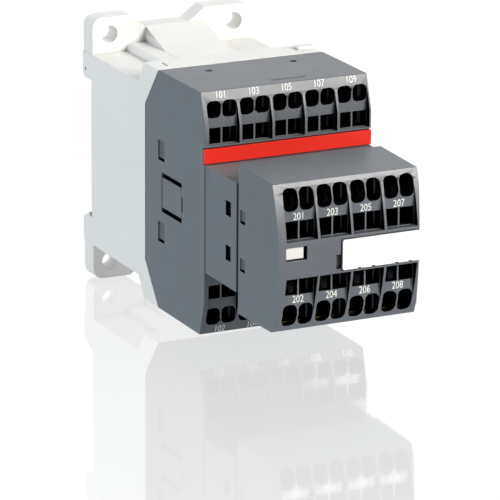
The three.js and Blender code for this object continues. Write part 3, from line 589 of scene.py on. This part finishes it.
def compression_spring(name, centre, length, radius, wire, turns, joint):
    """A spring along Y with a close turn at each end."""
    steps = STEPS_PER_TURN * (turns + 2)
    pitch_share = (length - 3 * wire) / length
    points = []
    for i in range(steps + 1):
        t = i / steps
        turn = t * (turns + 2)
        open_part = min(max((turn - 1) / turns, 0), 1)
        close_part = min(turn, 1) + max(turn - turns - 1, 0)
        y = -length / 2 + wire / 2 + close_part * wire + open_part * (length * pitch_share)
        angle = 2 * math.pi * turn
        points.append(centre + Vector((radius * math.cos(angle), y, radius * math.sin(angle))))
    body = BODY if joint == "carrier_slide" else MOVING
    spring = link(name, sweep(points, wire / 2), STEEL, body)
    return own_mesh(spring)


def return_springs():
    """The two coiled springs between the base and the contact carrier."""
    for side in ("left", "right"):
        node = f"return_spring_{side}"
        low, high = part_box(node)
        length = high.y - low.y
        spring = compression_spring(
            f"{node}_wound", (low + high) / 2, length, radius=2.5 * MM, wire=0.55 * MM, turns=6,
            joint="carrier_slide",
        )
        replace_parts(spring, node)


def contact_springs(row, carrier):
    """One spring in each window of the carrier, between its front wall and the contact bridge."""
    depths = [vertex.co.y for vertex in frame["nodes"][carrier].data.vertices]
    for pole in POLES:
        low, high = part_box(f"{row}_contact_bridge_{pole}")
        front = max(y for y in depths if y < low.y - MM)
        length = low.y - front - 0.1 * MM
        centre = Vector(((low.x + high.x) / 2, front + length / 2, (low.z + high.z) / 2))
        name, joint = f"{row}_contact_spring_{pole}", f"{row}_bridge_{pole}_slide"
        compression_spring(
            name, centre, length, radius=1.4 * MM, wire=0.32 * MM, turns=5,
            joint=joint,
        )


def rounded_loop(half_x, half_z, radius, steps=7):
    """Points of a rounded rectangle in the XZ plane, counter-clockwise seen from the front."""
    loop = []
    for corner in range(4):
        sign_x = (1, -1, -1, 1)[corner]
        sign_z = (1, 1, -1, -1)[corner]
        for i in range(steps + 1):
            angle = math.pi / 2 * (corner + i / steps)
            x = sign_x * (half_x - radius) + radius * math.cos(angle)
            z = sign_z * (half_z - radius) + radius * math.sin(angle)
            loop.append((x, z))
    return loop


def coil_winding():
    """The winding with one ridge for each turn of enamelled wire that shows, round a plain bore."""
    low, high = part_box("coil_winding")
    turns = int((high.y - low.y) / WIRE_PITCH)
    rises = [0.0, 0.55, 0.95, 1.0, 0.95, 0.55]
    profile = []
    for turn in range(turns):
        for k, rise in enumerate(rises):
            share = (turn + k / len(rises)) / turns
            profile.append((low.y + share * (high.y - low.y), rise))
    profile.append((high.y, 0.0))
    outer = []
    for _, rise in profile:
        sunk = WIRE_PROUD * (1 - rise)
        outer.append(rounded_loop(high.x - sunk, high.z - sunk, WINDING_CORNER))
    inner = rounded_loop(BORE_HALF_X, BORE_HALF_Z, BORE_CORNER)
    bm = bmesh.new()
    rings = [[bm.verts.new((x, y, z)) for x, z in loop] for (y, _), loop in zip(profile, outer)]
    bore_rings = [[bm.verts.new((x, y, z)) for x, z in inner] for y in (low.y, high.y)]
    closed = [bore_rings[0], *rings, bore_rings[1], bore_rings[0]]
    for before, after in zip(closed, closed[1:]):
        for k in range(len(before)):
            n = (k + 1) % len(before)
            bm.faces.new((before[k], before[n], after[n], after[k]))
    bmesh.ops.recalc_face_normals(bm, faces=bm.faces)
    mesh = bpy.data.meshes.new("winding")
    bm.to_mesh(mesh)
    bm.free()
    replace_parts(link("coil_winding_wound", mesh, ENAMEL, BODY), "coil_winding")


return_springs()
contact_springs("main", "contact_carrier")
contact_springs("aux", "aux_carrier")
coil_winding()


# ---------------------------------------------------------------- marker plate


PLATE_CORNER = 0.5 * MM
PLATE_CORNER_STEPS = 5
PLATE_EDGE = 0.1 * MM
NICK_WIDE, NICK_DEEP = 0.9 * MM, 0.25 * MM
NICK_PLACES = (0.2, 0.38, 0.68, 0.86)  # shares of the plate's width


def marker_plate():
    """The snap-on plate, with rounded corners and four small nicks in its lower edge."""
    low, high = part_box("marker_plate")
    centre_x, centre_z = (low.x + high.x) / 2, (low.z + high.z) / 2
    loop = rounded_loop(
        (high.x - low.x) / 2, (high.z - low.z) / 2, PLATE_CORNER, PLATE_CORNER_STEPS
    )
    points = [(centre_x + x, centre_z + z) for x, z in loop]
    nicks = []
    for share in NICK_PLACES:
        start = low.x + share * (high.x - low.x)
        end, top = start + NICK_WIDE, low.z + NICK_DEEP
        nicks += [(start, low.z), (start, top), (end, top), (end, low.z)]
    past_lower_left = 3 * (PLATE_CORNER_STEPS + 1)
    points[past_lower_left:past_lower_left] = nicks
    bm = bmesh.new()
    back = [bm.verts.new((x, high.y, z)) for x, z in points]
    face = bm.faces.new(back)
    grown = bmesh.ops.extrude_face_region(bm, geom=[face])["geom"]
    moved = [item for item in grown if isinstance(item, bmesh.types.BMVert)]
    bmesh.ops.translate(bm, verts=moved, vec=(0, low.y - high.y, 0))
    bmesh.ops.recalc_face_normals(bm, faces=bm.faces)
    mesh = bpy.data.meshes.new("plate")
    bm.to_mesh(mesh)
    bm.free()
    piece = link("marker_plate_finished", mesh, WHITE, BODY)
    bevel = piece.modifiers.new("rounded_edges", "BEVEL")
    bevel.width = PLATE_EDGE
    bevel.segments = 2
    bevel.limit_method = "ANGLE"
    bevel.angle_limit = math.radians(50)
    bevel.harden_normals = True
    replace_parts(piece, "marker_plate")


marker_plate()


# ---------------------------------------------------------------- terminal numbers

INK_THICK = 0.03 * MM
DIGITS_HIGH = 1.75 * MM
DIGITS_NARROWED = 0.82
FONT_SIZE = 100.0  # large, so that the curves are cut finely, and scaled down afterwards

# The openings sit this far to the right of the metal parts behind them.
TERMINAL_SHIFT = 0.4 * MM

# The sloping face above and below the main terminals: its slope, its edge at the housing's top
# and bottom, and the height of the numbers on it.
FACE_TILT = math.atan2(2.6, 8.6)
FACE_EDGE = -64.6 * MM
MAIN_NUMBERS_Z = 29.45 * MM

# The height of the front block's numbers above and below its middle.
BLOCK_NUMBERS_Z = 10.1 * MM

FIRST_MAIN_NUMBER, FIRST_BLOCK_NUMBER = 101, 201


def number(name, text, centre, high, tilt=0.0):
    """Raised ink digits, high metres tall, on a face turned up by tilt."""
    curve = bpy.data.curves.new(name, "FONT")
    curve.body = text
    curve.align_x = "CENTER"
    curve.extrude = 0.5
    curve.size = FONT_SIZE
    letters = bpy.data.objects.new(name, curve)
    bpy.context.scene.collection.objects.link(letters)
    bpy.context.view_layer.update()
    evaluated = letters.evaluated_get(bpy.context.evaluated_depsgraph_get())
    mesh = bpy.data.meshes.new_from_object(evaluated)
    bpy.data.objects.remove(letters)
    heights = [v.co.y for v in mesh.vertices]
    middle = (max(heights) + min(heights)) / 2
    scale = high / (max(heights) - min(heights))
    mesh.transform(Matrix.Translation((0, -middle, 0)))
    mesh.transform(Matrix.Diagonal((scale * DIGITS_NARROWED, scale, INK_THICK, 1)))
    turn = Matrix.Rotation(math.pi / 2 - tilt, 4, "X")
    mesh.transform(Matrix.Translation(centre) @ turn)
    return link(name, mesh, INK, BODY, smooth=False)


def column_centres(nodes):
    """Middle, along X, of the openings of the terminals that the nodes are in."""
    boxes = [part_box(node) for node in nodes]
    return [(low.x + high.x) / 2 + TERMINAL_SHIFT for low, high in boxes]


def main_numbers():
    """Odd numbers above the upper terminals and even ones below the lower, on the sloping face."""
    low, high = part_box("terminal_housing")
    for row in ROWS:
        nodes = [f"main_fixed_contact_{pole}_{row}" for pole in POLES] + [f"coil_terminal_{row}"]
        sign = 1 if row == "upper" else -1
        for i, x in enumerate(column_centres(nodes)):
            z = sign * MAIN_NUMBERS_Z
            y = FACE_EDGE - (high.z - abs(z)) * math.tan(FACE_TILT)
            text = f"{FIRST_MAIN_NUMBER + 2 * i + (row == 'lower')}"
            centre = Vector((x, y, z))
            number(f"terminal_number_{text}", text, centre, DIGITS_HIGH, sign * FACE_TILT)


def block_numbers():
    """Numbers on the bands between wire holes and release openings of the front block."""
    low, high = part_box("aux_housing")
    middle = (low.z + high.z) / 2
    for row in ROWS:
        sign = 1 if row == "upper" else -1
        nodes = [f"aux_fixed_contact_{pole}_{row}" for pole in POLES]
        for i, x in enumerate(column_centres(nodes)):
            text = f"{FIRST_BLOCK_NUMBER + 2 * i + (row == 'lower')}"
            centre = Vector((x, BAND_PLANE["aux_housing"], middle + sign * BLOCK_NUMBERS_Z))
            number(f"terminal_number_{text}", text, centre, DIGITS_HIGH)


main_numbers()
block_numbers()


# ---------------------------------------------------------------- floor, light and camera

STAGE_SIZE = 12

# The floor mirrors less with the distance from the rail: where that starts and ends, and the
# shares of mirror there.
MIRROR_ENDS = (0.06, 0.4)
MIRROR_SHARES = (0.35, 0.1)

# How bright the room is below the horizon, in front of the part and behind it.
BRIGHT_BELOW, BRIGHT_IN_FRONT, BRIGHT_BEHIND = 0.64, 0.24, 1.0

LIT_POINT = (0, -0.05, 0)
VIEWPOINT = Vector((-0.4235, -0.90904, 0.27346))
VIEW_DEGREES = (-26.149, 16.805, 0.381)  # azimuth, elevation and roll
FOCAL_LENGTH = 290.47


def stage_plane(name, drop):
    """A large level plane of the stage, drop below the lugs."""
    bpy.ops.mesh.primitive_plane_add(size=STAGE_SIZE, location=(0, 0, cad_box[0].z - drop))
    plane = bpy.context.object
    plane.name = name
    return plane


def floor():
    """A pale glossy floor that mirrors the part softly and fades to plain white further out.

    The part's own rays don't see it, because it would mirror the lights onto the lower faces.
    """
    plane = stage_plane("studio_floor", 0.6 * MM)
    plane.visible_diffuse = plane.visible_glossy = False
    t = Tree("pale_floor")
    nodes = t.tree.nodes
    nodes.remove(t.shader)
    white = t.node("ShaderNodeEmission", Color=(1, 1, 1, 1), Strength=1.04)
    matt = t.node("ShaderNodeBsdfDiffuse", Color=(0.9, 0.9, 0.9, 1))
    gloss = t.node("ShaderNodeBsdfGlossy", Color=(1, 1, 1, 1), Roughness=0.06)
    distance = t.node("ShaderNodeVectorMath", Vector=t.place)
    distance.operation = "LENGTH"
    near = t.ramp(distance.outputs["Value"], *MIRROR_ENDS, *MIRROR_SHARES)
    body = t.node("ShaderNodeMixShader", Fac=0.04)
    t.feed(body.inputs[1], white.outputs[0])
    t.feed(body.inputs[2], matt.outputs[0])
    mixed = t.node("ShaderNodeMixShader", Fac=near)
    t.feed(mixed.inputs[1], body.outputs[0])
    t.feed(mixed.inputs[2], gloss.outputs[0])
    t.feed(t.output.inputs["Surface"], mixed.outputs[0])
    plane.data.materials.append(t.material)


def floor_glow():
    """What the part's own gloss sees below it: an even pale blue, with no image of the lights."""
    plane = stage_plane("studio_floor_glow", 1.2 * MM)
    plane.visible_camera = plane.visible_diffuse = plane.visible_shadow = False
    t = Tree("floor_glow")
    t.tree.nodes.remove(t.shader)
    shine = t.node("ShaderNodeEmission", Color=(0.76, 0.92, 1.0, 1), Strength=0.88)
    t.feed(t.output.inputs["Surface"], shine.outputs[0])
    plane.data.materials.append(t.material)


def aimed(position, target):
    """A rotation that points an object's -Z axis from position to target."""
    return (Vector(target) - Vector(position)).to_track_quat("-Z", "Y").to_matrix().to_4x4()


def softbox(name, azimuth, elevation, distance, size, radiance, tint=(1, 1, 1)):
    """A square area light seen from the part at that azimuth and elevation, in degrees."""
    a, e = math.radians(azimuth), math.radians(elevation)
    towards = Vector((math.sin(a) * math.cos(e), -math.cos(a) * math.cos(e), math.sin(e)))
    position = distance * towards
    light = bpy.data.lights.new(name, "AREA")
    light.size = size
    light.energy = radiance * math.pi * size * size
    light.color = tint
    lamp = bpy.data.objects.new(name, light)
    bpy.context.scene.collection.objects.link(lamp)
    lamp.matrix_world = Matrix.Translation(position) @ aimed(position, LIT_POINT)


def studio_walls():
    """A white wall behind the part, dim ones elsewhere, and even soft light from below."""
    world = bpy.data.worlds.new("studio")
    bpy.context.scene.world = world
    world.use_nodes = True
    nodes, links = world.node_tree.nodes, world.node_tree.links
    parts = nodes.new("ShaderNodeSeparateXYZ")
    links.new(nodes.new("ShaderNodeTexCoord").outputs["Generated"], parts.inputs[0])

    def ramp(axis, low, high, out_low, out_high):
        made = nodes.new("ShaderNodeMapRange")
        for socket, number in zip(made.inputs[1:5], (low, high, out_low, out_high)):
            socket.default_value = number
        links.new(parts.outputs[axis], made.inputs[0])
        return made.outputs[0]

    strength = nodes.new("ShaderNodeMix")
    links.new(ramp("Z", -0.15, 0.05, 0.0, 1.0), strength.inputs["Factor"])
    strength.inputs["A"].default_value = BRIGHT_BELOW
    links.new(ramp("Y", -0.1, 0.6, BRIGHT_IN_FRONT, BRIGHT_BEHIND), strength.inputs["B"])
    links.new(strength.outputs["Result"], nodes["Background"].inputs["Strength"])
    nodes["Background"].inputs["Color"].default_value = (0.97, 0.99, 1.0, 1.0)


def lighting():
    """A key light from the front right, a cool one from the left and a weak fill between them."""
    studio_walls()
    softbox(
        "front_softbox", azimuth=26, elevation=26, distance=1.4, size=0.56, radiance=20.5,
        tint=(1.0, 0.98, 0.94),
    )
    softbox(
        "left_softbox", azimuth=-100, elevation=20, distance=1.6, size=0.9, radiance=3.25,
        tint=(0.80, 0.92, 1.0),
    )
    softbox("front_left_fill", azimuth=-50, elevation=12, distance=1.8, size=0.8, radiance=0.5)


def camera():
    """The photo's viewpoint: three-quarter left, from a little above."""
    azimuth, elevation, roll = (math.radians(angle) for angle in VIEW_DEGREES)
    back = Vector((
        math.sin(azimuth) * math.cos(elevation),
        -math.cos(azimuth) * math.cos(elevation),
        math.sin(elevation),
    ))
    level_right = Vector((math.cos(azimuth), math.sin(azimuth), 0))
    level_up = back.cross(level_right)
    right = math.cos(roll) * level_right + math.sin(roll) * level_up
    up = back.cross(right)
    data = bpy.data.cameras.new("camera")
    data.sensor_width = 36
    data.lens = FOCAL_LENGTH
    data.clip_start = 0.01
    viewpoint = bpy.data.objects.new("camera", data)
    bpy.context.scene.collection.objects.link(viewpoint)
    axes = Matrix((right, up, back)).transposed().to_4x4()
    viewpoint.matrix_world = Matrix.Translation(VIEWPOINT) @ axes
    bpy.context.scene.camera = viewpoint


floor()
floor_glow()
lighting()
camera()
bpy.context.scene.view_settings.view_transform = "Standard"
